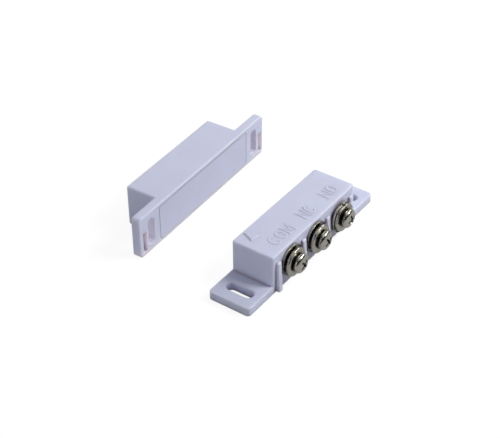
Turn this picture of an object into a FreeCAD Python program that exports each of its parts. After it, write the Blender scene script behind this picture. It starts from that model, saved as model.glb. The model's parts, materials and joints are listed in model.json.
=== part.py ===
# Magnetic door position switch: a switch unit with three screw terminals and its magnet unit.
# The switch unit lies on its base with the origin at the middle of that base. X runs along the unit,
# -Y is the terminal side and +Z is up. The magnet unit stands on its long side behind it.
import FreeCAD, Part
import Sketcher
import math
import os

doc = FreeCAD.newDocument("DoorPositionSwitch")
sheet = doc.addObject("Spreadsheet::Sheet", "Sizes")

# Sizes in millimetres and degrees
VALUES = {
    # moulded units, both of one size
    "unit_width": 13.5,
    "unit_height": 12.8,
    "ear_length": 11.1,
    "ear_thickness": 2.85,
    "wall": 1.6,
    "ear_corner": 1.2,
    "ear_edge": 0.35,
    "block_corner": 0.7,
    "block_edge": 0.5,
    # slots for the fixing screws, each across its ear
    "slot_inset": 5.35,
    "slot_width": 3.1,
    "slot_length": 8.7,
    "slot_edge": 0.5,
    # relief pockets beside the slots, open to the base
    "relief_width": 1.8,
    "relief_length": 6.9,
    "relief_depth": 1.3,
    "relief_margin": 1.1,
    "relief_corner": 0.2,
    "relief_near_inset": 2.25,
    "relief_far_inset": 1.55,
    # lid in the base
    "lid_end_land": 3.15,
    "lid_side_land": 0.35,
    "lid_thickness": 1.0,
    "lid_gap": 0.2,
    "plug_height": 0.8,
    "plug_gap": 0.15,
    # divider ribs on the terminal side
    "rib_width": 1.8,
    "rib_rise": 0.02,
    "rib_drop": 2.6,
    "rib_top_reach": 0.8,
    "rib_foot_reach": 1.4,
    "rib_root": 0.6,
    "rib_round": 0.45,
    "rib_space": 0.5,
    "rib_margin": 2.35,
    # terminals
    "cup_radius": 4.7,
    "cup_height": 0.8,
    "cup_floor": 0.45,
    "cup_rim": 0.8,
    "cup_round": 0.3,
    "wire_space": 0.85,
    "clamp_radius": 4.3,
    "clamp_thickness": 0.8,
    "clamp_round": 0.25,
    "lock_radius": 2.6,
    "lock_thickness": 0.52,
    "lock_split": 0.5,
    "screw_radius": 1.45,
    "screw_length": 7.5,
    "screw_point": 0.4,
    "head_radius": 2.9,
    "head_height": 1.8,
    "head_side": 0.7,
    "head_round": 0.3,
    "recess_width": 0.6,
    "recess_span": 3.3,
    "recess_depth": 1.0,
    "thread_gap": 0.05,
    "washer_gap": 0.25,
    "cup_gap": 0.5,
    "hole_gap": 0.3,
    "hang_gap": 0.05,
    "loose_cup_space": 0.05,
    "face_gap": 0.03,
    # tapped plates behind the terminal wall, each with a solder tag along its foot
    "plate_width": 8.0,
    "plate_thickness": 1.6,
    "plate_lid_gap": 1.95,
    "plate_roof_gap": 0.45,
    "tag_width": 2.4,
    "tag_length": 3.0,
    "tag_thickness": 0.6,
    # changeover reed
    "glass_length": 14.5,
    "glass_radius": 1.3,
    "glass_wall": 0.35,
    "seal_length": 1.6,
    "reed_wall_space": 2.25,
    "lead_radius": 0.25,
    "lead_bend": 0.8,
    "blade_width": 1.0,
    "blade_thickness": 0.22,
    "blade_overlap": 2.0,
    "closed_gap": 0.02,
    "open_gap": 0.23,
    "nc_stub": 0.95,
    "nc_drop": 2.5,
    "potting_length": 10.0,
    "potting_height": 3.6,
    # magnet
    "magnet_side_gap": 0.45,
    "magnet_end_gap": 1.05,
    "magnet_edge": 0.5,
    "adhesive_depth": 2.2,
    "adhesive_gap": 0.3,
    # place of the magnet unit
    "magnet_unit_x": 2.7,
    "magnet_unit_y": 33.5,
    "magnet_unit_turn": 2.4,
}


class Size:
    """A length that is both a formula on the sheet and its present value."""

    def __init__(self, text, value):
        self.text = text
        self.value = float(value)

    def __add__(self, other):
        other = as_size(other)
        return Size(f"({self.text} + {other.text})", self.value + other.value)

    def __sub__(self, other):
        other = as_size(other)
        return Size(f"({self.text} - {other.text})", self.value - other.value)

    def __mul__(self, factor):
        return Size(f"({self.text} * {factor})", self.value * factor)

    def __truediv__(self, factor):
        return Size(f"({self.text} / {factor})", self.value / factor)

    def __neg__(self):
        return Size(f"(0 - {self.text})", -self.value)


def as_size(value):
    return value if isinstance(value, Size) else Size(str(value), value)


ZERO = as_size(0)


class Sizes:
    """The sheet's cells by name."""


def fill_sheet():
    sizes = Sizes()
    for row, (name, value) in enumerate(VALUES.items(), 1):
        sheet.set(f"A{row}", name)
        sheet.set(f"B{row}", str(value))
        sheet.setAlias(f"B{row}", name)
        setattr(sizes, name, Size(f"Sizes.{name}", value))
    return sizes


S = fill_sheet()
doc.recompute()


# Bodies, sketches and features
def new_body(node):
    body = doc.addObject("PartDesign::Body", node)
    body.Label = node
    return body


def origin_plane(body, role):
    return next(f for f in body.Origin.OriginFeatures if f.Role == role)


def new_sketch(body, name, role, at=(ZERO, ZERO, ZERO)):
    """A sketch on one of the body's origin planes, shifted in that plane's own axes."""
    sketch = body.newObject("Sketcher::SketchObject", name)
    sketch.AttachmentSupport = [(origin_plane(body, role), "")]
    sketch.MapMode = "FlatFace"
    for axis, shift in zip("xyz", at):
        sketch.setExpression(f"AttachmentOffset.Base.{axis}", as_size(shift).text)
    return sketch


def constrain(sketch, kind, *items):
    """One constraint. A Size as the last item binds it to the sheet."""
    size = items[-1]
    if not isinstance(size, Size):
        sketch.addConstraint(Sketcher.Constraint(kind, *items))
        return
    index = sketch.addConstraint(Sketcher.Constraint(kind, *items[:-1], size.value))
    sketch.setExpression(f"Constraints[{index}]", size.text)


def place_point(sketch, geometry, end, x, y):
    constrain(sketch, "DistanceX", -1, 1, geometry, end, as_size(x))
    constrain(sketch, "DistanceY", -1, 1, geometry, end, as_size(y))


def line(sketch, a, b):
    return sketch.addGeometry(Part.LineSegment(FreeCAD.Vector(*a), FreeCAD.Vector(*b)))


def arc(sketch, centre, radius, first, last):
    circle = Part.Circle(FreeCAD.Vector(*centre), FreeCAD.Vector(0, 0, 1), radius)
    return sketch.addGeometry(Part.ArcOfCircle(circle, first, last))


def rounded_rectangle(sketch, width, height, radius):
    """Centred on the sketch's origin."""
    r = radius.value
    x = width.value / 2
    y = height.value / 2
    sides = [
        line(sketch, (-x + r, -y, 0), (x - r, -y, 0)),
        line(sketch, (x, -y + r, 0), (x, y - r, 0)),
        line(sketch, (x - r, y, 0), (-x + r, y, 0)),
        line(sketch, (-x, y - r, 0), (-x, -y + r, 0)),
    ]
    centres = [(x - r, -y + r, 0), (x - r, y - r, 0), (-x + r, y - r, 0), (-x + r, -y + r, 0)]
    corners = []
    for i, centre in enumerate(centres):
        start = (i - 1) * math.pi / 2
        corners.append(arc(sketch, centre, r, start, start + math.pi / 2))
    for i in range(4):
        constrain(sketch, "Tangent", sides[i], 2, corners[i], 1)
        constrain(sketch, "Tangent", corners[i], 2, sides[(i + 1) % 4], 1)
        constrain(sketch, "Horizontal" if i % 2 == 0 else "Vertical", sides[i])
    for corner in corners[1:]:
        constrain(sketch, "Equal", corners[0], corner)
    constrain(sketch, "Radius", corners[0], radius)
    constrain(sketch, "Symmetric", corners[0], 3, corners[2], 3, -1, 1)
    constrain(sketch, "DistanceX", corners[3], 3, corners[0], 3, width - radius * 2)
    constrain(sketch, "DistanceY", corners[0], 3, corners[1], 3, height - radius * 2)


def slot_outline(sketch, width, length):
    """A round-ended slot along the sketch's Y axis, centred on its origin."""
    r = width.value / 2
    h = length.value / 2 - r
    right = line(sketch, (r, -h, 0), (r, h, 0))
    top = arc(sketch, (0, h, 0), r, 0, math.pi)
    left = line(sketch, (-r, h, 0), (-r, -h, 0))
    bottom = arc(sketch, (0, -h, 0), r, math.pi, 2 * math.pi)
    parts = [right, top, left, bottom]
    for i in range(4):
        constrain(sketch, "Tangent", parts[i], 2, parts[(i + 1) % 4], 1)
    constrain(sketch, "Equal", top, bottom)
    constrain(sketch, "PointOnObject", top, 3, -2)
    constrain(sketch, "Symmetric", top, 3, bottom, 3, -1, 1)
    constrain(sketch, "Radius", top, width / 2)
    constrain(sketch, "DistanceY", bottom, 3, top, 3, length - width)


def circle_outline(sketch, radius):
    """Centred on the sketch's origin."""
    ring = Part.Circle(FreeCAD.Vector(0, 0, 0), FreeCAD.Vector(0, 0, 1), radius.value)
    index = sketch.addGeometry(ring)
    constrain(sketch, "Coincident", index, 3, -1, 1)
    constrain(sketch, "Radius", index, radius)


def profile(sketch, points, domes=None):
    """A closed outline through the points.

    domes gives, by the number of the side's first point, the X of a rounded side's centre.
    """
    domes = domes or {}
    points = [(as_size(x), as_size(y)) for x, y in points]
    count = len(points)
    sides = []
    for i, (x, y) in enumerate(points):
        a = (x.value, y.value)
        b = tuple(c.value for c in points[(i + 1) % count])
        if i not in domes:
            sides.append((line(sketch, (*a, 0), (*b, 0)), 1, 2))
            continue
        cx = as_size(domes[i]).value
        shift = (b[0] - cx) ** 2 - (a[0] - cx) ** 2 + b[1] ** 2 - a[1] ** 2
        cy = shift / (2 * (b[1] - a[1]))
        angles = [math.atan2(p[1] - cy, p[0] - cx) for p in (a, b)]
        turn = (angles[1] - angles[0]) % (2 * math.pi)
        forward = turn < math.pi
        first, last = angles if forward else reversed(angles)
        if last < first:
            last += 2 * math.pi
        radius = math.hypot(a[0] - cx, a[1] - cy)
        index = arc(sketch, (cx, cy, 0), radius, first, last)
        sides.append((index, 1, 2) if forward else (index, 2, 1))
    for i in range(count):
        here, following = sides[i], sides[(i + 1) % count]
        constrain(sketch, "Coincident", here[0], here[2], following[0], following[1])
        place_point(sketch, here[0], here[1], *points[i])
    for i, cx in domes.items():
        constrain(sketch, "DistanceX", -1, 1, sides[i][0], 3, as_size(cx))


def path(sketch, points, radius):
    """An open run of lines square to each other, with bends between them."""
    points = [(as_size(x), as_size(y)) for x, y in points]
    values = [FreeCAD.Vector(x.value, y.value, 0) for x, y in points]
    r = radius.value
    last = len(points) - 2
    runs = []
    for i in range(last + 1):
        a, b = values[i], values[i + 1]
        along = (b - a).normalize()
        start = a + along * (r if i else 0)
        end = b - along * (r if i < last else 0)
        runs.append(line(sketch, tuple(start), tuple(end)))
        constrain(sketch, "Horizontal" if abs(along.x) > 0.5 else "Vertical", runs[-1])
    for i in range(last):
        before = (values[i + 1] - values[i]).normalize()
        after = (values[i + 2] - values[i + 1]).normalize()
        centre = values[i + 1] - before * r + after * r
        first = math.atan2(-after.y, -after.x)
        second = math.atan2(before.y, before.x)
        forward = (second - first) % (2 * math.pi) < math.pi
        low, high = (first, second) if forward else (second, first)
        if high < low:
            high += 2 * math.pi
        bend = arc(sketch, tuple(centre), r, low, high)
        near, far = (1, 2) if forward else (2, 1)
        constrain(sketch, "Tangent", runs[i], 2, bend, near)
        constrain(sketch, "Tangent", bend, far, runs[i + 1], 1)
        constrain(sketch, "Radius", bend, radius)
    place_point(sketch, runs[0], 1, *points[0])
    for i in range(1, last + 1):
        across = "DistanceX" if abs(values[i + 1].x - values[i].x) < 1e-6 else "DistanceY"
        constrain(sketch, across, -1, 1, runs[i], 1, points[i][across == "DistanceY"])
    final = "DistanceY" if across == "DistanceX" else "DistanceX"
    constrain(sketch, final, -1, 1, runs[last], 2, points[-1][final == "DistanceY"])
    return [f"Edge{i + 1}" for i in range(2 * last + 1)]


def extrude(body, kind, name, sketch, length, reverse=False, midplane=False):
    feature = body.newObject(f"PartDesign::{kind}", name)
    feature.Profile = sketch
    feature.setExpression("Length", length.text)
    feature.Reversed = reverse
    feature.Midplane = midplane
    sketch.Visibility = False
    return feature


def pad(body, name, sketch, length, **options):
    return extrude(body, "Pad", name, sketch, length, **options)


def pocket(body, name, sketch, depth, **options):
    return extrude(body, "Pocket", name, sketch, depth, **options)


def spin(body, kind, name, sketch):
    feature = body.newObject(f"PartDesign::{kind}", name)
    feature.Profile = sketch
    feature.ReferenceAxis = (sketch, ["V_Axis"])
    feature.Angle = 360
    sketch.Visibility = False
    return feature


def soften(body, name, wanted, size, kind="Fillet"):
    """Rounds the edges of the body's last feature for which wanted(edge) holds."""
    doc.recompute()
    tip = body.Tip
    edges = enumerate(tip.Shape.Edges, 1)
    names = [f"Edge{i}" for i, edge in edges if not edge.Degenerated and wanted(edge)]
    if not names:
        raise ValueError(f"{body.Label}: no edge for {name}")
    feature = body.newObject(f"PartDesign::{kind}", name)
    feature.Base = (tip, names)
    feature.setExpression("Radius" if kind == "Fillet" else "Size", size.text)
    return feature


def along(edge, axis):
    """True for a straight edge that runs along this axis."""
    if not isinstance(edge.Curve, (Part.Line, Part.LineSegment)):
        return False
    return abs(getattr(edge.Curve.Direction, axis)) > 0.999


def at_height(edge, height):
    return abs(edge.BoundBox.ZMin - height) < 1e-4 and abs(edge.BoundBox.ZMax - height) < 1e-4


def circle_at(edge, height, radius):
    if not isinstance(edge.Curve, Part.Circle):
        return False
    return at_height(edge, height) and abs(edge.Curve.Radius - radius) < 1e-4


# Sizes that follow from the sheet's
TERMINAL_PITCH = (S.cup_radius + S.rib_space) * 2 + S.rib_width
BLOCK_LENGTH = TERMINAL_PITCH * 3 + S.rib_margin * 2
UNIT_LENGTH = BLOCK_LENGTH + S.ear_length * 2
HALF_LENGTH = UNIT_LENGTH / 2
HALF_WIDTH = S.unit_width / 2
CAVITY_LENGTH = BLOCK_LENGTH - S.wall * 2
CAVITY_WIDTH = S.unit_width - S.wall * 2
CAVITY_TOP = S.unit_height - S.wall
INNER_WALL = HALF_WIDTH - S.wall
LID_LENGTH = CAVITY_LENGTH + S.lid_end_land * 2
LID_WIDTH = CAVITY_WIDTH + S.lid_side_land * 2
PLUG_HOLLOW_LENGTH = CAVITY_LENGTH - S.wall * 2
PLUG_HOLLOW_WIDTH = CAVITY_WIDTH - S.wall * 2
PLATE_FOOT = S.lid_thickness + S.plug_height + S.plate_lid_gap
PLATE_TOP = CAVITY_TOP - S.plate_roof_gap
TERMINAL_HEIGHT = (PLATE_FOOT + PLATE_TOP) / 2


# Moulded units
def moulded_unit(node):
    """The block with an ear at each end, hollow and open in its base, which is at Z 0."""
    body = new_body(node)
    plan = new_sketch(body, f"{node}_ear_plan", "XY_Plane")
    rounded_rectangle(plan, UNIT_LENGTH, S.unit_width, S.ear_corner)
    pad(body, f"{node}_ears", plan, S.ear_thickness)
    top = S.ear_thickness.value
    soften(body, f"{node}_ear_edges", lambda e: at_height(e, 0) or at_height(e, top), S.ear_edge)

    half_ear = S.ear_thickness / 2
    block = new_sketch(body, f"{node}_block_plan", "XY_Plane", (ZERO, ZERO, half_ear))
    rounded_rectangle(block, BLOCK_LENGTH, S.unit_width, S.block_corner)
    pad(body, f"{node}_block", block, S.unit_height - half_ear)
    roof = S.unit_height.value
    soften(body, f"{node}_block_edges", lambda e: at_height(e, roof), S.block_edge)

    seat = new_sketch(body, f"{node}_lid_seat_plan", "XY_Plane")
    gap = S.lid_gap * 2
    rounded_rectangle(seat, LID_LENGTH + gap, LID_WIDTH + gap, S.block_edge)
    pocket(body, f"{node}_lid_seat", seat, S.lid_thickness, reverse=True)

    hollow = new_sketch(body, f"{node}_cavity_plan", "XY_Plane")
    rounded_rectangle(hollow, CAVITY_LENGTH, CAVITY_WIDTH, S.block_edge)
    pocket(body, f"{node}_cavity", hollow, CAVITY_TOP, reverse=True)

    slot_place = HALF_LENGTH - S.slot_inset
    for side, sign in (("left", -1), ("right", 1)):
        slot = new_sketch(body, f"{node}_{side}_slot_plan", "XY_Plane", (slot_place * sign, ZERO, ZERO))
        slot_outline(slot, S.slot_width, S.slot_length)
        pocket(body, f"{node}_{side}_slot", slot, S.ear_thickness, reverse=True)
    ear_top = S.ear_thickness.value
    slot_end = S.slot_width.value / 2

    def slot_rim(edge):
        if not at_height(edge, ear_top):
            return False
        if isinstance(edge.Curve, Part.Circle):
            return abs(edge.Curve.Radius - slot_end) < 1e-4
        offset = abs(edge.BoundBox.Center.x) - slot_place.value
        return along(edge, "y") and abs(abs(offset) - slot_end) < 1e-3

    soften(body, f"{node}_slot_edges", slot_rim, S.slot_edge)

    relief_y = HALF_WIDTH - S.relief_margin - S.relief_length / 2
    reliefs = (("left", S.relief_far_inset - HALF_LENGTH), ("right", HALF_LENGTH - S.relief_near_inset))
    for side, x in reliefs:
        relief = new_sketch(body, f"{node}_{side}_relief_plan", "XY_Plane", (x, -relief_y, ZERO))
        rounded_rectangle(relief, S.relief_width, S.relief_length, S.relief_corner)
        pocket(body, f"{node}_{side}_relief", relief, S.relief_depth, reverse=True)
    return body


def base_lid(node):
    """The flat lid with a low plug that fits the cavity's mouth."""
    body = new_body(node)
    plan = new_sketch(body, f"{node}_plan", "XY_Plane")
    rounded_rectangle(plan, LID_LENGTH, LID_WIDTH, S.block_edge)
    pad(body, f"{node}_plate", plan, S.lid_thickness)
    plug = new_sketch(body, f"{node}_plug_plan", "XY_Plane", (ZERO, ZERO, S.lid_thickness))
    gap = S.plug_gap * 2
    rounded_rectangle(plug, CAVITY_LENGTH - gap, CAVITY_WIDTH - gap, S.block_edge)
    pad(body, f"{node}_plug", plug, S.plug_height)
    inside = new_sketch(body, f"{node}_hollow_plan", "XY_Plane", (ZERO, ZERO, S.lid_thickness))
    rounded_rectangle(inside, PLUG_HOLLOW_LENGTH, PLUG_HOLLOW_WIDTH, S.block_edge)
    pocket(body, f"{node}_hollow", inside, S.plug_height, reverse=True)
    return body


# Switch housing with its ribs and terminal holes
TERMINALS = {"com": -1, "nc": 0, "no": 1}

switch_housing = moulded_unit("switch_housing")

RIB_FOOT = S.ear_edge + S.rib_rise
RIB_TOP = S.unit_height - S.rib_drop
rib_side = new_sketch(switch_housing, "rib_side", "YZ_Plane", (-HALF_WIDTH, ZERO, -TERMINAL_PITCH * 1.5))
profile(
    rib_side,
    [
        (S.rib_root, RIB_FOOT),
        (S.rib_root, RIB_TOP),
        (-S.rib_top_reach, RIB_TOP),
        (-S.rib_foot_reach, RIB_FOOT),
    ],
)
rib = pad(switch_housing, "rib", rib_side, S.rib_width, midplane=True)
ribs = switch_housing.newObject("PartDesign::LinearPattern", "ribs")
ribs.Originals = [rib]
ribs.Direction = (origin_plane(switch_housing, "X_Axis"), [""])
ribs.setExpression("Length", (TERMINAL_PITCH * 3).text)
ribs.Occurrences = 4
switch_housing.Tip = ribs
wall_face = -HALF_WIDTH.value
soften(switch_housing, "rib_edges", lambda e: e.BoundBox.YMin < wall_face - S.rib_round.value / 2, S.rib_round)

SCREW_HOLE = S.screw_radius + S.hole_gap
for name, place in TERMINALS.items():
    at = (TERMINAL_PITCH * place, TERMINAL_HEIGHT, INNER_WALL)
    hole = new_sketch(switch_housing, f"{name}_screw_hole_plan", "XZ_Plane", at)
    circle_outline(hole, SCREW_HOLE)
    pocket(switch_housing, f"{name}_screw_hole", hole, S.wall, reverse=True)

switch_base_lid = base_lid("switch_base_lid")


# Terminal pieces, each made with its axis along Z and its foot on the wall, then turned to face -Y
def face_terminal(body, place, turn=0, drop=ZERO, lift=ZERO):
    """drop is how far the piece hangs below the screw's axis, lift how far it stands off the wall."""
    upright = FreeCAD.Rotation(FreeCAD.Vector(1, 0, 0), 90)
    rotation = upright.multiply(FreeCAD.Rotation(FreeCAD.Vector(0, 0, 1), turn))
    body.Placement = FreeCAD.Placement(FreeCAD.Vector(0, 0, 0), rotation)
    body.setExpression("Placement.Base.x", (TERMINAL_PITCH * place).text)
    body.setExpression("Placement.Base.y", (-HALF_WIDTH - lift).text)
    body.setExpression("Placement.Base.z", (TERMINAL_HEIGHT - drop).text)


CLAMP_BACK = S.cup_height + S.wire_space
CLAMP_FRONT = CLAMP_BACK + S.clamp_thickness
LOCK_BACK = CLAMP_FRONT + S.face_gap
LOCK_FRONT = LOCK_BACK + S.lock_thickness
HEAD_BACK = LOCK_FRONT + S.face_gap


def cup_washer(node, place, loose):
    """Dished washer. A loose one hangs on the screw and stands off the wall."""
    body = new_body(node)
    section = new_sketch(body, f"{node}_section", "XZ_Plane")
    bore = S.screw_radius + S.cup_gap
    profile(
        section,
        [
            (bore, ZERO),
            (S.cup_radius, ZERO),
            (S.cup_radius, S.cup_height),
            (S.cup_radius - S.cup_rim, S.cup_height),
            (S.cup_radius - S.cup_rim * 1.4, S.cup_floor),
            (bore, S.cup_floor),
        ],
    )
    spin(body, "Revolution", f"{node}_turned", section)
    height, outer = S.cup_height.value, S.cup_radius.value
    inner = outer - S.cup_rim.value
    soften(
        body,
        f"{node}_rim",
        lambda e: circle_at(e, height, outer) or circle_at(e, height, inner),
        S.cup_round,
    )
    if loose:
        face_terminal(body, place, drop=S.cup_gap - S.hang_gap, lift=S.wire_space - S.loose_cup_space)
    else:
        face_terminal(body, place)
    return body


def clamp_washer(node, place):
    body = new_body(node)
    section = new_sketch(body, f"{node}_section", "XZ_Plane", (ZERO, CLAMP_BACK, ZERO))
    bore = S.screw_radius + S.washer_gap
    profile(
        section,
        [
            (bore, ZERO),
            (S.clamp_radius, ZERO),
            (S.clamp_radius, S.clamp_thickness),
            (bore, S.clamp_thickness),
        ],
    )
    spin(body, "Revolution", f"{node}_turned", section)
    back, front = CLAMP_BACK.value, CLAMP_FRONT.value
    outer = S.clamp_radius.value
    soften(
        body,
        f"{node}_edges",
        lambda e: circle_at(e, back, outer) or circle_at(e, front, outer),
        S.clamp_round,
    )
    face_terminal(body, place, drop=S.washer_gap - S.hang_gap)
    return body


def lock_washer(node, place):
    """Split spring washer between the clamp washer and the screw's head."""
    body = new_body(node)
    section = new_sketch(body, f"{node}_section", "XZ_Plane", (ZERO, LOCK_BACK, ZERO))
    bore = S.screw_radius + S.washer_gap
    profile(
        section,
        [
            (bore, ZERO),
            (S.lock_radius, ZERO),
            (S.lock_radius, S.lock_thickness),
            (bore, S.lock_thickness),
        ],
    )
    spin(body, "Revolution", f"{node}_turned", section)
    split_place = (bore + S.lock_radius) / 2
    split = new_sketch(body, f"{node}_split_plan", "XY_Plane", (split_place, ZERO, LOCK_FRONT))
    rounded_rectangle(split, S.lock_radius, S.lock_split, S.lock_split / 8)
    pocket(body, f"{node}_split", split, S.lock_thickness)
    face_terminal(body, place, drop=S.washer_gap - S.hang_gap)
    return body


def terminal_screw(node, place, turn):
    """Pan head screw with a cross recess. Its thread is a plain shank of the thread's outer size."""
    body = new_body(node)
    section = new_sketch(body, f"{node}_section", "XZ_Plane", (ZERO, HEAD_BACK, ZERO))
    profile(
        section,
        [
            (ZERO, -S.screw_length),
            (S.screw_radius - S.screw_point, -S.screw_length),
            (S.screw_radius, S.screw_point - S.screw_length),
            (S.screw_radius, ZERO),
            (S.head_radius, ZERO),
            (S.head_radius, S.head_side),
            (ZERO, S.head_height),
        ],
        domes={5: ZERO},
    )
    spin(body, "Revolution", f"{node}_turned", section)
    shoulder = (HEAD_BACK + S.head_side).value
    rim = S.head_radius.value
    soften(body, f"{node}_shoulder", lambda e: circle_at(e, shoulder, rim), S.head_round)
    top = HEAD_BACK + S.head_height
    arm = new_sketch(body, f"{node}_recess_plan", "XY_Plane", (ZERO, ZERO, top))
    rounded_rectangle(arm, S.recess_span, S.recess_width, S.recess_width / 4)
    cut = pocket(body, f"{node}_recess", arm, S.recess_depth)
    cross = body.newObject("PartDesign::PolarPattern", f"{node}_cross")
    cross.Originals = [cut]
    cross.Axis = (origin_plane(body, "Z_Axis"), [""])
    cross.Angle = 180
    cross.Occurrences = 3
    body.Tip = cross
    face_terminal(body, place, turn)
    return body


def terminal_plate(node, place):
    """Tapped plate against the wall's inner face, with a solder tag along its foot."""
    body = new_body(node)
    x = TERMINAL_PITCH * place
    at = (x, TERMINAL_HEIGHT, INNER_WALL)
    plan = new_sketch(body, f"{node}_plan", "XZ_Plane", at)
    rounded_rectangle(plan, S.plate_width, PLATE_TOP - PLATE_FOOT, S.plate_thickness / 2)
    pad(body, f"{node}_plate", plan, S.plate_thickness, reverse=True)
    tag_height = PLATE_FOOT + S.tag_thickness / 2
    inner = INNER_WALL - S.plate_thickness
    tag = new_sketch(body, f"{node}_tag_plan", "XZ_Plane", (x, tag_height, inner))
    rounded_rectangle(tag, S.tag_width, S.tag_thickness, S.tag_thickness / 6)
    pad(body, f"{node}_tag", tag, S.tag_length, reverse=True)
    hole = new_sketch(body, f"{node}_hole_plan", "XZ_Plane", at)
    circle_outline(hole, S.screw_radius + S.thread_gap)
    pocket(body, f"{node}_hole", hole, S.plate_thickness)
    return body


RECESS_TURNS = {"com": 40, "nc": 32, "no": 12}
for name, place in TERMINALS.items():
    cup_washer(f"{name}_cup_washer", place, name == "no")
    clamp_washer(f"{name}_clamp_washer", place)
    lock_washer(f"{name}_lock_washer", place)
    terminal_screw(f"{name}_terminal_screw", place, RECESS_TURNS[name])
    terminal_plate(f"{name}_terminal_plate", place)

# Changeover reed: glass capsule, three blades with their leads, and the compound that holds it
REED_HEIGHT = PLATE_FOOT + S.tag_thickness + S.lead_radius + S.face_gap
REED_SIDE = INNER_WALL - S.reed_wall_space
BORE_HALF = S.glass_length / 2 - S.seal_length
SEAL_END = S.glass_length / 2
BLADE_PITCH = S.blade_thickness + S.closed_gap
NO_OFFSET = S.blade_thickness + S.open_gap
LEAD_END = INNER_WALL - S.plate_thickness - S.lead_radius * 2
LEADS = {
    "com": (ZERO, -1),
    "nc": (-BLADE_PITCH, 1),
    "no": (NO_OFFSET, 1),
}

glass = new_body("reed_glass_capsule")
outer = new_sketch(glass, "glass_section", "XY_Plane")
core = S.glass_radius - S.glass_wall
profile(
    outer,
    [
        (ZERO, -SEAL_END),
        (S.glass_radius, S.glass_radius - SEAL_END),
        (S.glass_radius, SEAL_END - S.glass_radius),
        (ZERO, SEAL_END),
    ],
    domes={0: ZERO, 2: ZERO},
)
spin(glass, "Revolution", "glass_tube", outer)
inner = new_sketch(glass, "glass_bore_section", "XY_Plane")
profile(inner, [(ZERO, -BORE_HALF), (core, -BORE_HALF), (core, BORE_HALF), (ZERO, BORE_HALF)])
spin(glass, "Groove", "glass_bore", inner)
for name, (offset, end) in LEADS.items():
    start = SEAL_END * end
    lead_hole = new_sketch(glass, f"{name}_seal_plan", "XZ_Plane", (-offset, ZERO, -start))
    circle_outline(lead_hole, S.lead_radius + S.face_gap)
    pocket(glass, f"{name}_seal", lead_hole, S.seal_length + S.wall / 4, reverse=end > 0)
glass.Placement = FreeCAD.Placement(FreeCAD.Vector(0, 0, 0), FreeCAD.Rotation(FreeCAD.Vector(0, 0, 1), -90))
glass.setExpression("Placement.Base.y", REED_SIDE.text)
glass.setExpression("Placement.Base.z", REED_HEIGHT.text)


def reed_blade(name):
    """One reed: a round lead that bends to its solder tag, flattened inside the glass."""
    node = f"reed_{name}_blade"
    offset, end = LEADS[name]
    body = new_body(node)
    y = REED_SIDE + offset
    root = (BORE_HALF - S.lead_radius * 2) * end
    x = TERMINAL_PITCH * TERMINALS[name]
    turns = [(root, y), (x, y), (x, -LEAD_END)]
    if name == "nc":
        far = SEAL_END + S.nc_stub
        low = REED_SIDE - S.nc_drop
        turns = [(root, y), (far, y), (far, low), (x, low), (x, -LEAD_END)]
    route = new_sketch(body, f"{node}_route", "XY_Plane", (ZERO, ZERO, REED_HEIGHT))
    edges = path(route, turns, S.lead_bend)
    section = new_sketch(body, f"{node}_section", "YZ_Plane", (y, REED_HEIGHT, root))
    circle_outline(section, S.lead_radius)
    lead = body.newObject("PartDesign::AdditivePipe", f"{node}_lead")
    lead.Profile = section
    lead.Spine = (route, edges)
    section.Visibility = False
    route.Visibility = False
    blade = new_sketch(body, f"{node}_blade_plan", "YZ_Plane", (y, REED_HEIGHT, root + S.lead_radius * end))
    rounded_rectangle(blade, S.blade_thickness, S.blade_width, S.blade_thickness / 4)
    reach = BORE_HALF - S.lead_radius + S.blade_overlap / 2
    pad(body, f"{node}_flat", blade, reach, reverse=end > 0)
    return body


for name in LEADS:
    reed_blade(name)

potting = new_body("reed_potting")
POTTING_LOW = REED_HEIGHT - S.potting_height / 2
block = new_sketch(potting, "potting_plan", "XY_Plane", (ZERO, (INNER_WALL + REED_SIDE) / 2, POTTING_LOW))
rounded_rectangle(block, S.potting_length, INNER_WALL - REED_SIDE, S.blade_thickness)
pad(potting, "potting_block", block, S.potting_height)
saddle = new_sketch(potting, "potting_saddle_plan", "YZ_Plane", (REED_SIDE, REED_HEIGHT, ZERO))
circle_outline(saddle, S.glass_radius + S.face_gap)
pocket(potting, "potting_saddle", saddle, S.potting_length * 2, midplane=True)


# Magnet unit, made like the switch unit and then stood on its long side
def stand_behind(body):
    """Turns the base to face -Y and puts the unit on the floor behind the switch unit."""
    on_side = FreeCAD.Rotation(FreeCAD.Vector(-1, 0, 0), FreeCAD.Vector(0, 0, 1), FreeCAD.Vector(0, 1, 0), "ZXY")
    turn = FreeCAD.Rotation(FreeCAD.Vector(0, 0, 1), VALUES["magnet_unit_turn"])
    body.Placement = FreeCAD.Placement(FreeCAD.Vector(0, 0, 0), turn.multiply(on_side))
    body.setExpression("Placement.Base.x", S.magnet_unit_x.text)
    body.setExpression("Placement.Base.y", S.magnet_unit_y.text)
    body.setExpression("Placement.Base.z", HALF_WIDTH.text)


magnet_housing = moulded_unit("magnet_housing")
magnet_base_lid = base_lid("magnet_base_lid")

MAGNET_FOOT = S.lid_thickness + S.adhesive_depth
bar_magnet = new_body("bar_magnet")
bar_plan = new_sketch(bar_magnet, "bar_plan", "XY_Plane", (ZERO, ZERO, MAGNET_FOOT))
bar_length = CAVITY_LENGTH - S.magnet_end_gap * 2
bar_width = CAVITY_WIDTH - S.magnet_side_gap * 2
rounded_rectangle(bar_plan, bar_length, bar_width, S.magnet_edge)
pad(bar_magnet, "bar", bar_plan, CAVITY_TOP - MAGNET_FOOT)

magnet_adhesive = new_body("magnet_adhesive")
adhesive_plan = new_sketch(magnet_adhesive, "adhesive_plan", "XY_Plane", (ZERO, ZERO, S.lid_thickness))
gap = S.adhesive_gap * 2
rounded_rectangle(adhesive_plan, PLUG_HOLLOW_LENGTH - gap, PLUG_HOLLOW_WIDTH - gap, S.block_edge)
pad(magnet_adhesive, "adhesive", adhesive_plan, S.adhesive_depth)

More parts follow.
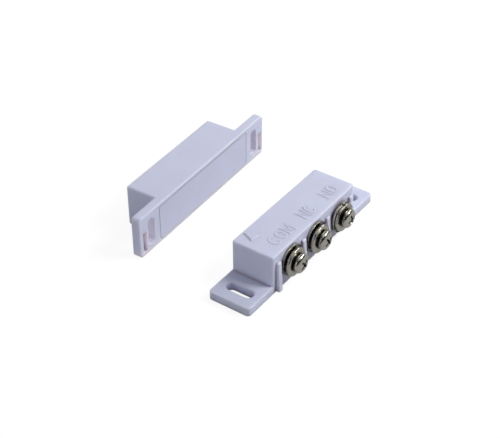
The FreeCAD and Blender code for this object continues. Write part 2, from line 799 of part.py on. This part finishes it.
for piece in (magnet_housing, magnet_base_lid, bar_magnet, magnet_adhesive):
    stand_behind(piece)

# Check and export
doc.recompute()
os.makedirs("parts", exist_ok=True)
for item in doc.Objects:
    if "Invalid" in item.State or "Error" in item.State:
        raise RuntimeError(f"{item.Name} is {item.State}")
for body in doc.findObjects("PartDesign::Body"):
    shape = body.Shape
    if shape.isNull() or not shape.isValid() or len(shape.Solids) != 1:
        raise RuntimeError(f"{body.Label} is not one valid solid")
    shape.exportStep(f"parts/{body.Label}.step")
    print(body.Label, round(shape.Volume, 2))
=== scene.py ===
"""Visual model of a magnetic door position switch: the switch unit with its three screw terminals,
and the magnet unit standing on its long side behind it.

The frame has X along the switch unit, -Y out of its terminal side and Z up. Materials, lights and
camera are in metres. Meshes are drawn in millimetres and scaled when they become a piece."""
import json
import math

import bmesh
import bpy
from mathutils import Matrix, Vector

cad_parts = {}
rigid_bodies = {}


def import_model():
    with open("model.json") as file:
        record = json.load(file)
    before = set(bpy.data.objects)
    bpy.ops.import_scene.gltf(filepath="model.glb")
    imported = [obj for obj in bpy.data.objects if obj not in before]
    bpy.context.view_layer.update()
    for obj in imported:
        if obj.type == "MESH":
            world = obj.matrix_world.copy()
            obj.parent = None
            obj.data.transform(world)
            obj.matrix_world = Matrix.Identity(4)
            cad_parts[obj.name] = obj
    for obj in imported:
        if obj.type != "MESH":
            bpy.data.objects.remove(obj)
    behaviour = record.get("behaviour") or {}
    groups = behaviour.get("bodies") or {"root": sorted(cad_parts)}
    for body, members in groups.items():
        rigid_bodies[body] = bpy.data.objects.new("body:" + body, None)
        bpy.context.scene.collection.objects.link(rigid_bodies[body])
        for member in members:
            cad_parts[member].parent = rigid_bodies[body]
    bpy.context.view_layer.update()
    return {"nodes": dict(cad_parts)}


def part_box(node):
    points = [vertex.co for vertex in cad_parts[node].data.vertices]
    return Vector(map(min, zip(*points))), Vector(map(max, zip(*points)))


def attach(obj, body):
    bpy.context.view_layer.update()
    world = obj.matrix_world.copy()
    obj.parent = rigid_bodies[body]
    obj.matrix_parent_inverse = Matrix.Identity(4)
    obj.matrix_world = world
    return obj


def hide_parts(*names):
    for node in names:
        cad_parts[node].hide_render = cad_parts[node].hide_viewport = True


for leftover in list(bpy.data.objects):
    bpy.data.objects.remove(leftover)

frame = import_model()
scene = bpy.context.scene
MM = 0.001
TERMINALS = ("com", "nc", "no")


# ---------------------------------------------------------------- materials

NOISE_BAND = (0.3, 0.7)                    # where most of a noise texture's values lie
PATCH_DETAIL, GRAIN_DETAIL = 3, 4
SKY_SAMPLES = 8


def material(name, colours, roughness, patch, grain, bump, painted_light_and_shade=None, **fixed):
    """Principled material whose colour drifts over patches and whose roughness and bump follow a finer
    grain. patch and grain are feature sizes, bump is (strength, depth), and the optional (reach, stops)
    after bump paints shade and light into the colour: a factor on it for each share of open sky around a
    place, so hollows and gaps get painted shade, and painted light where a factor is over 1."""
    mat = bpy.data.materials.new(name)
    mat.use_nodes = True
    nodes, links = mat.node_tree.nodes, mat.node_tree.links
    shader = nodes["Principled BSDF"]
    for socket, value in fixed.items():
        shader.inputs[socket.replace("_", " ")].default_value = value

    place = nodes.new("ShaderNodeTexCoord")

    def noise(size, detail):
        tex = nodes.new("ShaderNodeTexNoise")
        tex.inputs["Scale"].default_value = 1 / size
        tex.inputs["Detail"].default_value = detail
        links.new(place.outputs["Object"], tex.inputs["Vector"])
        return tex

    def ramp(source, stops):
        """Colour ramp through (position, colour) stops."""
        node = nodes.new("ShaderNodeValToRGB")
        first, last = node.color_ramp.elements
        first.position, first.color = stops[0][0], (*stops[0][1], 1)
        last.position, last.color = stops[-1][0], (*stops[-1][1], 1)
        for position, tone in stops[1:-1]:
            node.color_ramp.elements.new(position).color = (*tone, 1)
        links.new(source, node.inputs["Fac"])
        return node.outputs["Color"]

    patches, grains = noise(patch, PATCH_DETAIL), noise(grain, GRAIN_DETAIL)
    colour = ramp(patches.outputs["Fac"], tuple(zip(NOISE_BAND, colours)))
    # Painted shade and light: the colour is multiplied by a factor read from the share of open sky
    # (ambient occlusion).
    if painted_light_and_shade:
        reach, stops = painted_light_and_shade
        open_sky = nodes.new("ShaderNodeAmbientOcclusion")
        open_sky.inputs["Distance"].default_value, open_sky.samples = reach, SKY_SAMPLES
        painted_shading_colour = nodes.new("ShaderNodeMix")
        painted_shading_colour.data_type, painted_shading_colour.blend_type = "RGBA", "MULTIPLY"
        painted_shading_colour.inputs["Factor"].default_value = 1.0
        links.new(colour, painted_shading_colour.inputs["A"])
        links.new(ramp(open_sky.outputs["AO"], stops), painted_shading_colour.inputs["B"])
        colour = painted_shading_colour.outputs["Result"]
    links.new(colour, shader.inputs["Base Color"])

    rough = nodes.new("ShaderNodeMapRange")
    for ends, values in (("From", NOISE_BAND), ("To", roughness)):
        rough.inputs[ends + " Min"].default_value, rough.inputs[ends + " Max"].default_value = values
    links.new(grains.outputs["Fac"], rough.inputs["Value"])
    links.new(rough.outputs["Result"], shader.inputs["Roughness"])

    relief = nodes.new("ShaderNodeBump")
    relief.inputs["Strength"].default_value, relief.inputs["Distance"].default_value = bump
    links.new(grains.outputs["Fac"], relief.inputs["Height"])
    links.new(relief.outputs["Normal"], shader.inputs["Normal"])
    return mat


OPEN = (0.8, (1.0, 1.0, 1.0))              # from this share of sky on, a colour stays as it is, with no painted shade or light
METAL_SHADE_REACH = 0.0022                      # reach of the painted shade that washers and heads put on each other
ABS = {"IOR": 1.50, "Specular_IOR_Level": 0.22,
       "Subsurface_Scale": 0.002, "Subsurface_Radius": (1.0, 0.84, 0.78)}
HOUSING = {"colours": ((0.665, 0.690, 0.862), (0.690, 0.716, 0.890)),
           "roughness": (0.48, 0.60), "patch": 0.011, "grain": 0.00028, "bump": (0.05, 0.00002), **ABS}

# Painted shade: the housing goes darker and warmer pink in its corners, slots and the gaps by the
# washers.
plastic = material("moulded_abs", **HOUSING, Subsurface_Weight=0.6,
                   painted_light_and_shade=(0.0024, ((0.25, (0.62, 0.50, 0.50)), OPEN)))
# Painted shade in the deepest hollows, and painted light, warm and pink, in the slots and reliefs that
# are less shut in.
magnet_plastic = material("magnet_abs", **HOUSING, Subsurface_Weight=0.7,
                          painted_light_and_shade=(0.006, ((0.06, (0.30, 0.25, 0.28)), (0.22, (1.25, 1.08, 0.98)),
                                           (0.42, (1.36, 1.20, 1.06)), OPEN)))
# Painted shade: the walls of the seam round the lid go darker.
lid_plastic = material("lid_abs", ((0.665, 0.684, 0.850), (0.690, 0.708, 0.876)), (0.46, 0.58),
                       patch=0.009, grain=0.00028, bump=(0.05, 0.00002), Subsurface_Weight=0.15,
                       painted_light_and_shade=(0.0012, ((0.06, (0.70, 0.62, 0.64)), OPEN)), **ABS)
mark_plastic = material("raised_marks", **HOUSING, Subsurface_Weight=0.1)
# Painted shade: these three metals go nearly black where washers, heads and the wall shut each other in.
nickel = material("nickel_plating", ((0.54, 0.515, 0.440), (0.64, 0.615, 0.535)), (0.16, 0.30),
                  patch=0.0016, grain=0.00035, bump=(0.04, 0.00002), Metallic=1.0,
                  painted_light_and_shade=(METAL_SHADE_REACH, ((0.25, (0.05, 0.05, 0.05)), OPEN)))
nickel_stamped = material("stamped_nickel", ((0.50, 0.475, 0.400), (0.60, 0.575, 0.495)), (0.16, 0.32),
                          patch=0.0021, grain=0.0004, bump=(0.05, 0.00002), Metallic=1.0,
                          painted_light_and_shade=(METAL_SHADE_REACH, ((0.25, (0.04, 0.04, 0.04)), OPEN)))
spring_steel = material("spring_steel", ((0.055, 0.050, 0.045), (0.12, 0.11, 0.10)), (0.25, 0.45),
                        patch=0.0012, grain=0.0003, bump=(0.15, 0.00004), Metallic=1.0,
                        painted_light_and_shade=(METAL_SHADE_REACH, ((0.25, (0.1, 0.1, 0.1)), OPEN)))
brass = material("tapped_brass", ((0.64, 0.44, 0.16), (0.76, 0.55, 0.24)), (0.22, 0.38),
                 patch=0.0018, grain=0.0003, bump=(0.10, 0.00003), Metallic=1.0)
reed_metal = material("reed_alloy", ((0.50, 0.48, 0.44), (0.60, 0.58, 0.54)), (0.18, 0.32),
                      patch=0.0015, grain=0.0002, bump=(0.06, 0.00002), Metallic=1.0)
glass = material("capsule_glass", ((0.62, 0.86, 0.70), (0.72, 0.93, 0.80)), (0.02, 0.06),
                 patch=0.003, grain=0.0008, bump=(0.02, 0.00002), IOR=1.49, Transmission_Weight=1.0)
potting = material("epoxy_potting", ((0.60, 0.55, 0.42), (0.70, 0.65, 0.52)), (0.25, 0.45),
                   patch=0.002, grain=0.0006, bump=(0.20, 0.00006),
                   IOR=1.53, Subsurface_Weight=0.2, Subsurface_Scale=0.001)
ferrite = material("magnet_ferrite", ((0.020, 0.020, 0.022), (0.035, 0.035, 0.038)), (0.45, 0.65),
                   patch=0.002, grain=0.00025, bump=(0.30, 0.00005), IOR=1.7)

# The first ending that a node's name has gives its material.
FINISH = {"magnet_housing": magnet_plastic, "housing": plastic, "lid": lid_plastic, "plate": brass,
          "lock_washer": spring_steel, "washer": nickel_stamped, "screw": nickel, "blade": reed_metal,
          "capsule": glass, "potting": potting, "adhesive": potting, "bar_magnet": ferrite}
for name, node in frame["nodes"].items():
    finish = next(mat for ending, mat in FINISH.items() if name.endswith(ending))
    for slot in node.material_slots:
        slot.material = finish


# ---------------------------------------------------------------- mesh tools

def mesh_of(name, bm):
    """Mesh from a bmesh that is drawn in millimetres."""
    bmesh.ops.recalc_face_normals(bm, faces=bm.faces)
    bmesh.ops.scale(bm, vec=(MM, MM, MM), verts=bm.verts)
    mesh = bpy.data.meshes.new(name)
    bm.to_mesh(mesh)
    bm.free()
    return mesh


def linked(name, mesh):
    obj = bpy.data.objects.new(name, mesh)
    scene.collection.objects.link(obj)
    return obj


def piece(name, bm, mat, body, angle=30):
    """Shown piece that rides on a body. Edges sharper than angle, in degrees, stay sharp."""
    mesh = mesh_of(name, bm)
    obj = linked(name, mesh)
    mesh.materials.append(mat)
    mesh.shade_smooth()
    mesh.set_sharp_from_angle(angle=math.radians(angle))
    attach(obj, body)
    return obj


def bevelled(obj, name, width, segments, angle):
    """Adds a bevel of width millimetres to the edges sharper than angle, in degrees."""
    bevel = obj.modifiers.new(name, "BEVEL")
    bevel.width, bevel.segments, bevel.limit_method = width * MM, segments, "ANGLE"
    bevel.angle_limit = math.radians(angle)


def rounded(corners, steps=6):
    """Closed outline of (radius, height, rounding) corners with a curve at each rounded one."""
    outline = []
    for i, (r, h, size) in enumerate(corners):
        here = Vector((r, h))
        if not size:
            outline.append(here)
            continue
        before = Vector(corners[i - 1][:2]) - here
        after = Vector(corners[(i + 1) % len(corners)][:2]) - here
        start, end = here + before.normalized() * size, here + after.normalized() * size
        for k in range(steps + 1):
            t = k / steps
            outline.append(start * (1 - t) ** 2 + here * 2 * t * (1 - t) + end * t ** 2)
    return outline


def skin(bm, rings, closed=False):
    """Joins each ring of vertices to the next one. A closed row of rings also joins its last ring to
    its first, and an open one gets a cap at both ends."""
    following = rings[1:] + rings[:1] if closed else rings[1:]
    for one, two in zip(rings, following):
        for i in range(len(one)):
            j = (i + 1) % len(one)
            bm.faces.new((one[i], one[j], two[j], two[i]))
    if not closed:
        bm.faces.new(rings[0])
        bm.faces.new(rings[-1])


def polar(x, z, y, radius, angle):
    """Point at y, radius away from the terminal axis through (x, z)."""
    return x + radius * math.cos(angle), y, z + radius * math.sin(angle)


def spin(bm, outline, x, z, foot, segments=112):
    """Revolves a closed outline of (radius, height) about the axis through (x, z). Height runs along
    -Y from y = foot."""
    skin(bm, [[bm.verts.new(polar(x, z, foot - p[1], p[0], math.tau * k / segments)) for p in outline]
              for k in range(segments)], closed=True)


def axis_of(node):
    """x and z of a turned node's axis, and the y of its front and back, in millimetres."""
    lo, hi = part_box(node)
    return (lo.x + hi.x) / 2 / MM, (lo.z + hi.z) / 2 / MM, lo.y / MM, hi.y / MM


# ---------------------------------------------------------------- terminals

RIM_TURN = {"com": 0.4, "nc": 0.4, "no": 0.05}        # how far each clamp disc's rim is turned back
RECESS_TURN = {"com": 40, "nc": 32, "no": 12}         # each cross recess's angle in degrees
SEAT_GAP = 0.03                                       # between the split ring and the head
HEAD_RADIUS, HEAD_SIDE, HEAD_CROWN = 2.86, 0.62, 1.14
DOME_STEPS, HEAD_SEGMENTS = 22, 96


def cup_washer(t):
    """Dished washer with a flat floor against the wall and a thin upright rim."""
    node = f"{t}_cup_washer"
    x, z, front, back = axis_of(node)
    bore, outer, wall, rim, lean, floor_share = 1.95, 4.67, 4.44, 4.49, 0.02, 0.42
    height = back - front
    floor_height = height * floor_share
    bm = bmesh.new()
    spin(bm, rounded([(bore, 0, 0.1), (outer, 0, 0.1), (outer + lean, height, 0.1), (rim, height, 0.09),
                      (wall, floor_height, 0.2), (bore, floor_height, 0.1)]), x, z, back)
    body = "no_cup" if t == "no" else "units"
    obj = piece(f"{t}_dished_washer", bm, nickel_stamped, body)
    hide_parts(node)


def clamp_washer(t, turned):
    """Disc whose rim is turned back towards the wall by turned, to hold the wire."""
    node = f"{t}_clamp_washer"
    x, z, front, back = axis_of(node)
    bore, outer = 1.7, 4.28
    height = back - front
    outline = [(bore, 0, 0.08), (3.55, 0, 0.2), (3.92, -turned, 0.06), (4.16, -turned, 0.1),
               (outer - 0.01, 0.06, 0.06), (outer, height - turned * 0.6, 0.2), (3.5, height, 0.3),
               (bore, height, 0.08)]
    bm = bmesh.new()
    spin(bm, rounded(outline), x, z, back)
    obj = piece(f"{t}_clamp_disc", bm, nickel_stamped, f"{t}_clamp")
    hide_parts(node)


def lock_washer(t):
    """Split ring of square wire, its ends cut aslant."""
    node = f"{t}_lock_washer"
    x, z, _, _ = axis_of(f"{t}_clamp_washer")
    _, _, front, back = axis_of(node)
    inner, outer, edge = 1.72, 2.58, 0.07
    half_split, slant, steps = 7, 0.30, 80            # degrees, millimetres, count
    thick = back - front
    section = rounded([(inner, 0, edge), (outer, 0, edge), (outer, thick, edge), (inner, thick, edge)], 4)
    bm = bmesh.new()
    rings = []
    for k in range(steps + 1):
        along = math.radians(half_split + (360 - 2 * half_split) * k / steps)
        rings.append([bm.verts.new(polar(x, z, back - h, r, along + (h / thick - 0.5) * slant / r))
                      for r, h in section])
    skin(bm, rings)
    obj = piece(f"{t}_split_ring", bm, spring_steel, f"{t}_clamp")
    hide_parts(node)


def recess_cutter(x, z, front, turn):
    """Tapered cross to cut from a screw's head, in tiers of (height over the head's top, half length,
    half width)."""
    tiers = [(0.3, 1.86, 0.46), (-0.1, 1.66, 0.33), (-0.75, 1.12, 0.26), (-1.1, 0.42, 0.2)]
    bm = bmesh.new()
    rings = []
    for height, reach, half in tiers:
        ring = []
        for quarter in range(4):
            a = math.radians(turn) + quarter * math.pi / 2
            for along, across in ((half, -half), (reach, -half), (reach, half)):
                ring.append(bm.verts.new((x + along * math.cos(a) - across * math.sin(a), front - height,
                                          z + along * math.sin(a) + across * math.cos(a))))
        rings.append(ring)
    skin(bm, rings)
    return linked("recess_cutter", mesh_of("recess_cutter", bm))


def screw_head(t, x, z, seat):
    """Domed pan head on the plane y = seat, with its cross recess and worn edges."""
    angles = [math.pi / 2 * k / DOME_STEPS for k in range(DOME_STEPS)]
    dome = [(HEAD_RADIUS * math.sin(a), HEAD_SIDE + HEAD_CROWN * math.cos(a) ** 0.92) for a in angles]
    outline = dome[1:] + [(HEAD_RADIUS, HEAD_SIDE), (HEAD_RADIUS, 0.2),
                          (HEAD_RADIUS - 0.06, 0.07), (HEAD_RADIUS - 0.2, 0.0)]
    bm = bmesh.new()
    top = bm.verts.new((x, seat - HEAD_SIDE - HEAD_CROWN, z))
    foot = bm.verts.new((x, seat, z))
    rings = [[bm.verts.new(polar(x, z, seat - h, r, math.tau * k / HEAD_SEGMENTS)) for r, h in outline]
             for k in range(HEAD_SEGMENTS)]
    for k in range(HEAD_SEGMENTS):
        one, two = rings[k], rings[(k + 1) % HEAD_SEGMENTS]
        bm.faces.new((top, one[0], two[0]))
        for i in range(len(one) - 1):
            bm.faces.new((one[i], one[i + 1], two[i + 1], two[i]))
        bm.faces.new((one[-1], foot, two[-1]))
    obj = piece(f"{t}_pan_head_screw", bm, nickel, f"{t}_screw", angle=35)

    knife = recess_cutter(x, z, seat - HEAD_SIDE - HEAD_CROWN, RECESS_TURN[t])
    cut = obj.modifiers.new("recess", "BOOLEAN")
    cut.object, cut.operation, cut.solver = knife, "DIFFERENCE", "EXACT"
    bevelled(obj, "worn_edges", 0.05, 2, 38)
    bpy.context.view_layer.update()
    depsgraph = bpy.context.evaluated_depsgraph_get()
    baked = bpy.data.meshes.new_from_object(obj.evaluated_get(depsgraph))
    obj.modifiers.clear()
    obj.data = baked
    bpy.data.objects.remove(knife)
    return obj


def screw_thread(t, x, z, seat, tip):
    """Helical thread from the head's seat to the tip, which it tapers towards."""
    pitch, crest, depth, flank = 0.5, 1.43, 0.27, 1.15
    around, rows_per_turn = 36, 8
    taper_length, tip_share = 0.5, 0.55
    length = tip - seat
    rows = int(length / pitch * rows_per_turn)
    bm = bmesh.new()
    rings = []
    for i in range(rows + 1):
        h = length * i / rows
        taper = min(1.0, (length - h) / taper_length + tip_share)
        ring = []
        for k in range(around):
            phase = (h / pitch - k / around) % 1
            r = (crest - depth * min(1.0, abs(phase * 2 - 1) * flank)) * taper
            ring.append(bm.verts.new(polar(x, z, seat + h, r, math.tau * k / around)))
        rings.append(ring)
    skin(bm, rings)
    piece(f"{t}_screw_thread", bm, nickel, f"{t}_screw", angle=50)


def terminal_screw(t):
    node = f"{t}_terminal_screw"
    x, z, _, tip = axis_of(node)
    seat = axis_of(f"{t}_lock_washer")[2] - SEAT_GAP
    head = screw_head(t, x, z, seat)
    screw_thread(t, x, z, seat, tip)
    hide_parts(node)


for t in TERMINALS:
    cup_washer(t)
    clamp_washer(t, RIM_TURN[t])
    lock_washer(t)
    terminal_screw(t)


# ---------------------------------------------------------------- raised marks on the switch unit

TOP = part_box("switch_housing")[1].z / MM
WORDS = (("COM", -15.4, -6.0), ("NC", -1.0, 4.6), ("NO", 10.4, 16.2))     # text, left and right x
LETTER_FOOT, LETTER_HEAD, LETTER_GAP = -4.35, -0.95, 0.95
STROKE_FOOT, STROKE_TOP = 1.02, 0.50
STROKE_SINK, STROKE_RISE = 0.15, 0.12
LEAST_TURN, MITRE_LIMIT = 0.2, 2.2                    # keep a stroke's sharp corners short
TRIANGLE = ((-16.2, 6.3), (-17.9, 2.2), (-14.1, 1.7))
TRIANGLE_LAYERS = ((1.08, -0.1), (0.74, 0.34))        # share of the triangle, height over the top face


def stroke(bm, points, closed):
    """Raised stroke with sloping sides along a line in the switch's top face."""
    points = [Vector(p) for p in points]
    last = len(points) - 1
    section = ((STROKE_FOOT, -STROKE_SINK), (STROKE_TOP, STROKE_RISE),
               (-STROKE_TOP, STROKE_RISE), (-STROKE_FOOT, -STROKE_SINK))
    rings = []
    for i, here in enumerate(points):
        before = points[i - 1] if closed or i else None
        after = points[(i + 1) % len(points)] if closed or i < last else None
        into = ((after - here) if before is None else (here - before)).normalized()
        out = into if after is None else (after - here).normalized()
        sideways = Vector((-(into + out).y, (into + out).x)).normalized()
        mitre = min(1 / max(sideways.dot(Vector((-out.y, out.x))), LEAST_TURN), MITRE_LIMIT)
        ring = []
        for width, z in section:
            end = Vector((0, 0))
            if not closed and i in (0, last):
                end = (out if i else -out) * (abs(width) / 2)
            p = here + sideways * (width / 2 * mitre) + end
            ring.append(bm.verts.new((p.x, p.y, TOP + z)))
        rings.append(ring)
    skin(bm, rings, closed)


def bow(width, height, start, end, steps=26):
    """Part of an ellipse, from start to end degrees, in a box of width and height."""
    angles = (math.radians(start + (end - start) * k / steps) for k in range(steps + 1))
    return [(width / 2 * (1 + math.cos(a)), height / 2 * (1 + math.sin(a))) for a in angles]


LETTERS = {
    "C": lambda w, h: (bow(w * 1.02, h, 48, 312), False),
    "O": lambda w, h: (bow(w, h, 0, 350, 35), True),
    "N": lambda w, h: ([(0, 0), (0, h), (w, 0), (w, h)], False),
    "M": lambda w, h: ([(0, 0), (0, h), (w / 2, h * 0.18), (w, h), (w, 0)], False),
}


def word(text, left, right):
    """One raised word between two x places, its letters as wide as that allows."""
    margin, m_share = 0.25, 1.12
    shares = [m_share if c == "M" else 1.0 for c in text]
    unit = (right - left - LETTER_GAP * (len(text) - 1) - 2 * margin) / sum(shares)
    bm = bmesh.new()
    x = left + margin
    for c, share in zip(text, shares):
        points, closed = LETTERS[c](unit * share, LETTER_HEAD - LETTER_FOOT)
        stroke(bm, [(x + px, LETTER_FOOT + py) for px, py in points], closed)
        x += unit * share + LETTER_GAP
    obj = piece(f"lettering_{text.lower()}", bm, mark_plastic, "units", angle=40)
    bevelled(obj, "moulded_edges", 0.10, 3, 35)


def alignment_mark():
    """Raised triangle at the end of the unit that the magnet is lined up with."""
    corners = [Vector(c) for c in TRIANGLE]
    middle = sum(corners, Vector((0, 0))) / 3
    bm = bmesh.new()
    skin(bm, [[bm.verts.new((*(middle + (c - middle) * share), TOP + z)) for c in corners]
              for share, z in TRIANGLE_LAYERS])
    mark = piece("alignment_mark", bm, mark_plastic, "units", angle=40)
    bevelled(mark, "moulded_edges", 0.12, 3, 30)


for text, left, right in WORDS:
    word(text, left, right)
alignment_mark()


# ---------------------------------------------------------------- stage, lights and camera

def tree_of(holder):
    """Empty node tree of a material or world."""
    holder.use_nodes = True
    holder.node_tree.nodes.clear()
    return holder.node_tree.nodes, holder.node_tree.links


def sees_background(nodes, links):
    """Light path node, and a socket that is 1 for camera and transmission rays."""
    ray = nodes.new("ShaderNodeLightPath")
    either = nodes.new("ShaderNodeMath")
    either.operation = "MAXIMUM"
    links.new(ray.outputs["Is Camera Ray"], either.inputs[0])
    links.new(ray.outputs["Is Transmission Ray"], either.inputs[1])
    return ray, either.outputs[0]


def mixed(nodes, links, share, one, two):
    """Output of a shader mix: one where share is 0, two where it is 1."""
    mix = nodes.new("ShaderNodeMixShader")
    for source, socket in zip((share, one, two), mix.inputs):
        links.new(source, socket)
    return mix.outputs[0]


def coloured(nodes, kind, colour, strength=None):
    """Output of a new shader node of one colour."""
    node = nodes.new(kind)
    node.inputs["Color"].default_value = (*colour, 1)
    if strength is not None:
        node.inputs["Strength"].default_value = strength
    return node.outputs[0]


def paper_floor():
    """Pale floor that the camera sees as nearly white, with the shadows kept."""
    mat = bpy.data.materials.new("studio_floor")
    nodes, links = tree_of(mat)
    _, seen = sees_background(nodes, links)
    lit = nodes.new("ShaderNodeAddShader")
    links.new(coloured(nodes, "ShaderNodeBsdfDiffuse", (0.16, 0.16, 0.165)), lit.inputs[0])
    links.new(coloured(nodes, "ShaderNodeEmission", (1, 1, 1), 0.9), lit.inputs[1])
    paper = coloured(nodes, "ShaderNodeBsdfDiffuse", (0.54, 0.54, 0.55))
    out = nodes.new("ShaderNodeOutputMaterial")
    links.new(mixed(nodes, links, seen, paper, lit.outputs[0]), out.inputs["Surface"])
    return mat


FLOOR_REACH, FLOOR_DROP = 1.2, 0.00002
bm = bmesh.new()
bmesh.ops.create_grid(bm, x_segments=2, y_segments=2, size=FLOOR_REACH)
floor_mesh = bpy.data.meshes.new("floor")
bm.to_mesh(floor_mesh)
bm.free()
floor_mesh.materials.append(paper_floor())
floor = linked("floor", floor_mesh)
floor.location.z = -FLOOR_DROP

# What the metal mirrors: a pale ground, a dark room and a bright ceiling. The places run from
# straight down at 0 to straight up at 1, with a level of grey at each.
ROOM = ((0.50, (0.35, 0.35, 0.36)), (0.51, (0.01, 0.01, 0.01)), (0.87, (0.008, 0.008, 0.00816)),
        (0.92, (0.35, 0.35, 0.357)), (0.97, (0.7, 0.7, 0.714)))


def studio_world():
    """White for the camera, the room for glossy rays and a soft even light for all others."""
    world = bpy.data.worlds.new("studio")
    nodes, links = tree_of(world)
    ray, seen = sees_background(nodes, links)
    direction = nodes.new("ShaderNodeTexCoord")
    split = nodes.new("ShaderNodeSeparateXYZ")
    links.new(direction.outputs["Generated"], split.inputs[0])
    height = nodes.new("ShaderNodeMapRange")
    height.inputs["From Min"].default_value, height.inputs["From Max"].default_value = -1, 1
    links.new(split.outputs["Z"], height.inputs["Value"])
    room = nodes.new("ShaderNodeValToRGB")
    for stop, (place, colour) in zip(room.color_ramp.elements, ROOM):
        stop.position, stop.color = place, (*colour, 1)
    for place, colour in ROOM[2:]:
        room.color_ramp.elements.new(place).color = (*colour, 1)
    links.new(height.outputs["Result"], room.inputs["Fac"])
    surround = nodes.new("ShaderNodeBackground")
    links.new(room.outputs["Color"], surround.inputs["Color"])
    ambient = coloured(nodes, "ShaderNodeBackground", (0.96, 0.97, 1.0), 0.24)
    white = coloured(nodes, "ShaderNodeBackground", (1, 1, 1))
    unseen = mixed(nodes, links, ray.outputs["Is Glossy Ray"], ambient, surround.outputs[0])
    out = nodes.new("ShaderNodeOutputWorld")
    links.new(mixed(nodes, links, seen, unseen, white), out.inputs["Surface"])
    return world


AIM = Vector((0.0, 0.015, 0.006))


def softbox(name, place, width, depth, power):
    """Area light aimed at the middle of the part."""
    data = bpy.data.lights.new(name, "AREA")
    data.shape, data.size, data.size_y = "RECTANGLE", width, depth
    data.energy = power
    lamp = linked(name, data)
    lamp.location = place
    lamp.rotation_euler = (AIM - Vector(place)).to_track_quat("-Z", "Y").to_euler()


scene.world = studio_world()
softbox("key_box", (0.22, -0.34, 0.42), 0.26, 0.26, 2.10)
softbox("right_box", (0.46, -0.03, 0.30), 0.20, 0.20, 0.95)
softbox("left_fill_box", (-0.38, 0.30, 0.15), 0.24, 0.20, 0.32)

# Lens, place and the three directions of the image are those that the photograph was taken with.
CAMERA_PLACE = (-0.234559, -0.151381, 0.224864)
IMAGE_RIGHT = Vector((0.57689683, -0.81680840, -0.00375389))
IMAGE_DOWN = Vector((-0.49982858, -0.34937747, -0.79253188))
IMAGE_INTO = Vector((0.64603517, 0.45908543, -0.60981894))
camera = linked("camera", bpy.data.cameras.new("camera"))
camera.data.lens, camera.data.sensor_width = 90.66, 36.0
camera.data.clip_start, camera.data.clip_end = 0.02, 20.0
facing = Matrix((IMAGE_RIGHT, -IMAGE_DOWN, -IMAGE_INTO)).transposed().to_4x4()
camera.matrix_world = Matrix.Translation(CAMERA_PLACE) @ facing
scene.camera = camera
scene.view_settings.view_transform = "Standard"

bpy.context.view_layer.update()
